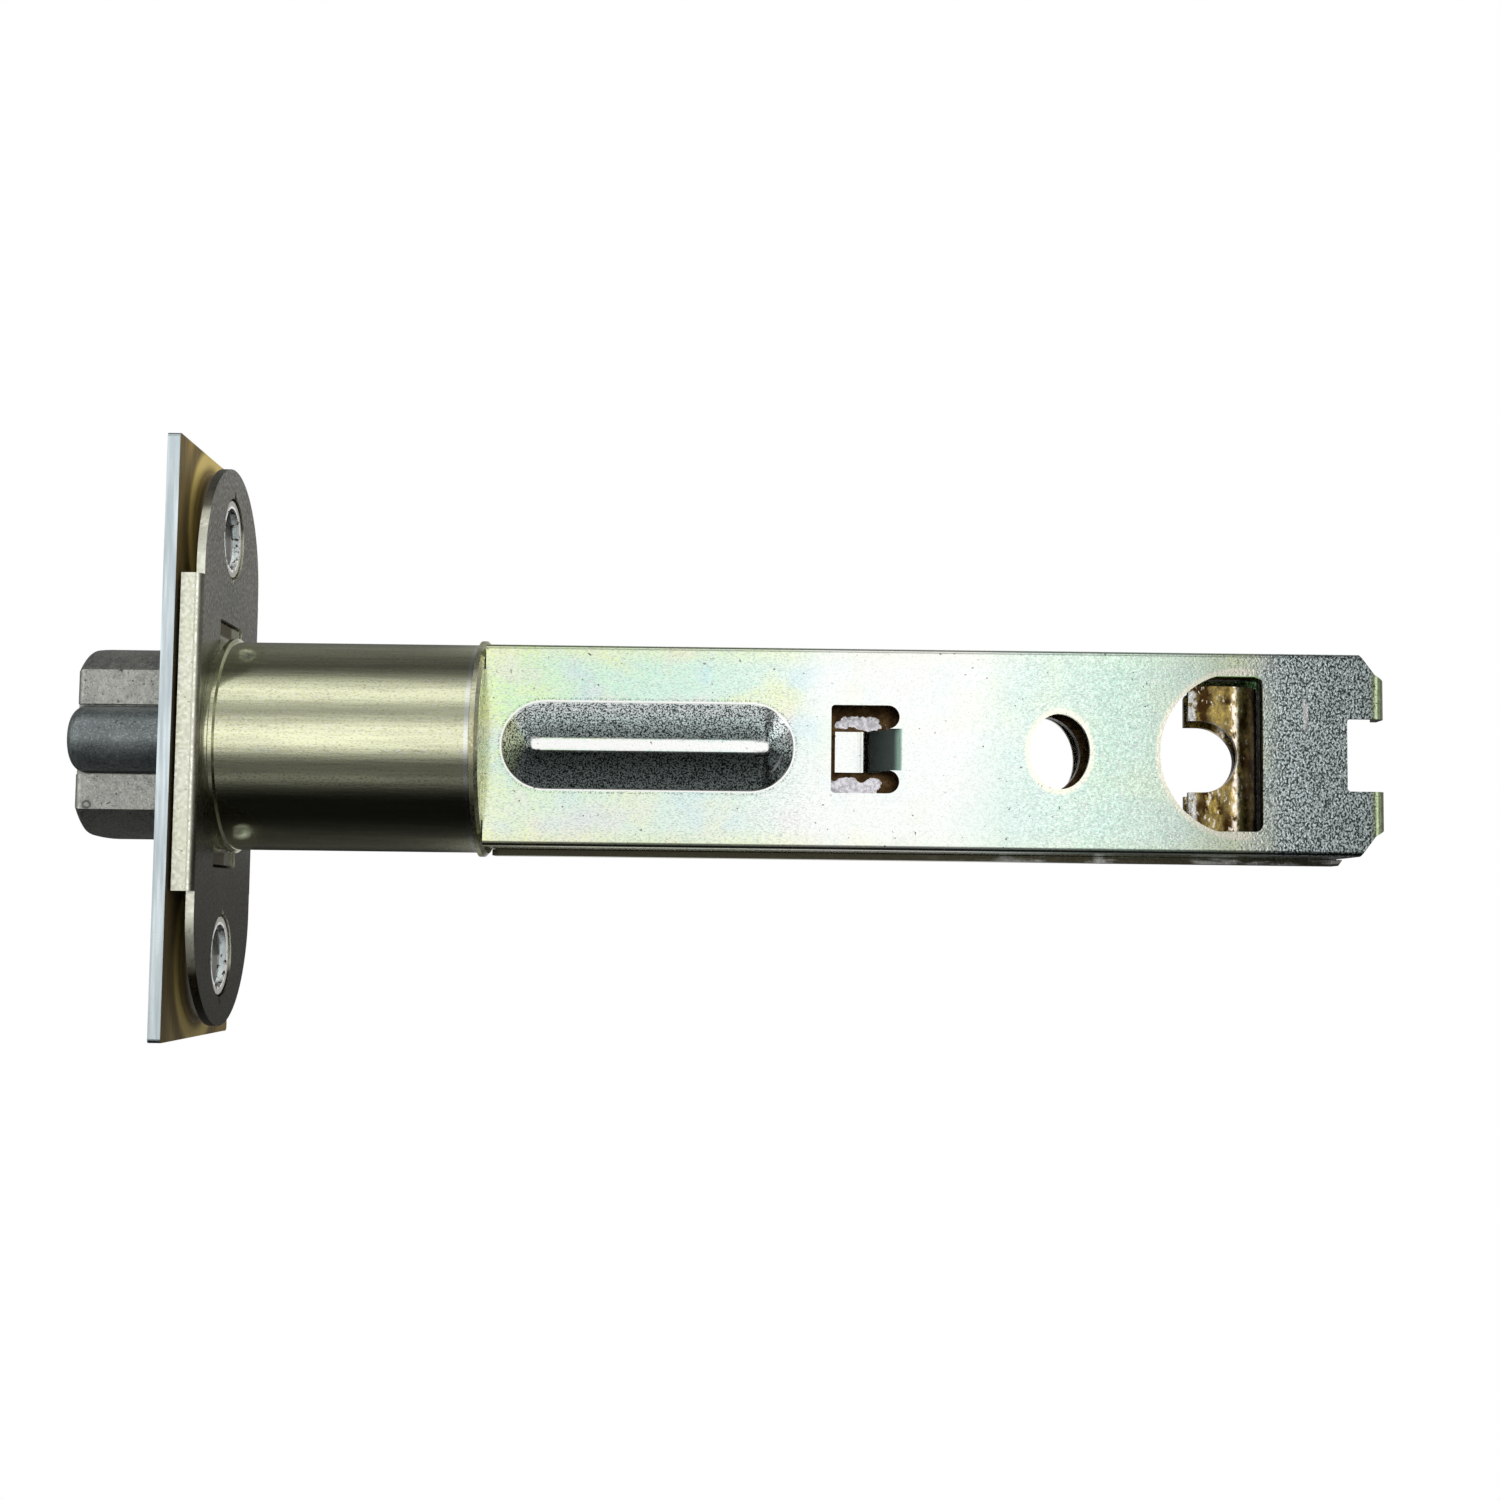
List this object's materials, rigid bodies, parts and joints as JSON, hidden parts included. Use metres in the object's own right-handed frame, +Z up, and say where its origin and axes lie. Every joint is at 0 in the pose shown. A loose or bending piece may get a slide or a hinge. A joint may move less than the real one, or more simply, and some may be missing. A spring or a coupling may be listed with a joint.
{
  "type": "tubular deadlatch",
  "caption": "Tubular deadlatch with a sprung latch bolt and deadlocking plunger, a faceplate, a round tube and a long two-part sheet-metal case with a retractor slide",
  "frame": {"origin": "on the axis of the tube, in the front face of the faceplate, midway between its two screw holes", "axes": "X along the latch from the bolt to the tail, Y across the case towards the bolt's sloped side, Z up along the faceplate"},
  "size_m": [0.1262, 0.0254, 0.0572],
  "materials": {
    "bronzed_plate": "satin",
    "zinc_backing": "satin",
    "tube_steel": "brushed",
    "zinc_cream": "satin",
    "zinc_case": "bright",
    "cast_bolt": "cast",
    "cast_plunger": "cast",
    "bright_steel": "turned",
    "bar_steel": "rolled",
    "slide_bronze": "greasy",
    "spring_wire": "drawn"
  },
  "bodies": {
    "case": {"faceplate": "bronzed_plate", "mounting_plate": "zinc_backing", "latch_tube": "tube_steel", "tube_end_cap": "zinc_cream", "case_near_half": "zinc_case", "case_far_half": "zinc_case", "pawl_pin": "bright_steel", "bolt_spring": "spring_wire", "plunger_spring": "spring_wire", "pawl_spring": "spring_wire"},
    "bolt": {"latch_bolt": "cast_bolt", "bolt_pin": "bright_steel", "link_bar": "bar_steel"},
    "slide": {"retractor_slide": "slide_bronze"},
    "plunger": {"plunger": "cast_plunger", "plunger_rod": "bright_steel"},
    "pawl": {"deadlock_pawl": "bar_steel"}
  },
  "joints": [
    {"name": "bolt_travel", "type": "slide", "parent": "case", "child": "bolt", "axis": [1, 0, 0], "range_m": [0, 0.0095], "stiffness_N_per_m": 400, "springref_m": -0.008, "deforming": ["bolt_spring"]},
    {"name": "slide_travel", "type": "slide", "parent": "case", "child": "slide", "axis": [1, 0, 0], "range_m": [0, 0.0095]},
    {"name": "plunger_travel", "type": "slide", "parent": "case", "child": "plunger", "axis": [1, 0, 0], "range_m": [0, 0.0095], "stiffness_N_per_m": 100, "springref_m": -0.006, "deforming": ["plunger_spring"]},
    {"name": "pawl_swing", "type": "hinge", "parent": "case", "child": "pawl", "pos_m": [0.0269, 0, 0.0061], "axis": [0, -1, 0], "range_deg": [0, 5]}
  ],
  "couplings": [
    {"joint": "slide_travel", "follows": "bolt_travel", "ratio": 1},
    {"joint": "pawl_swing", "follows": "plunger_travel", "rad_per_m": 9.18}
  ]
}
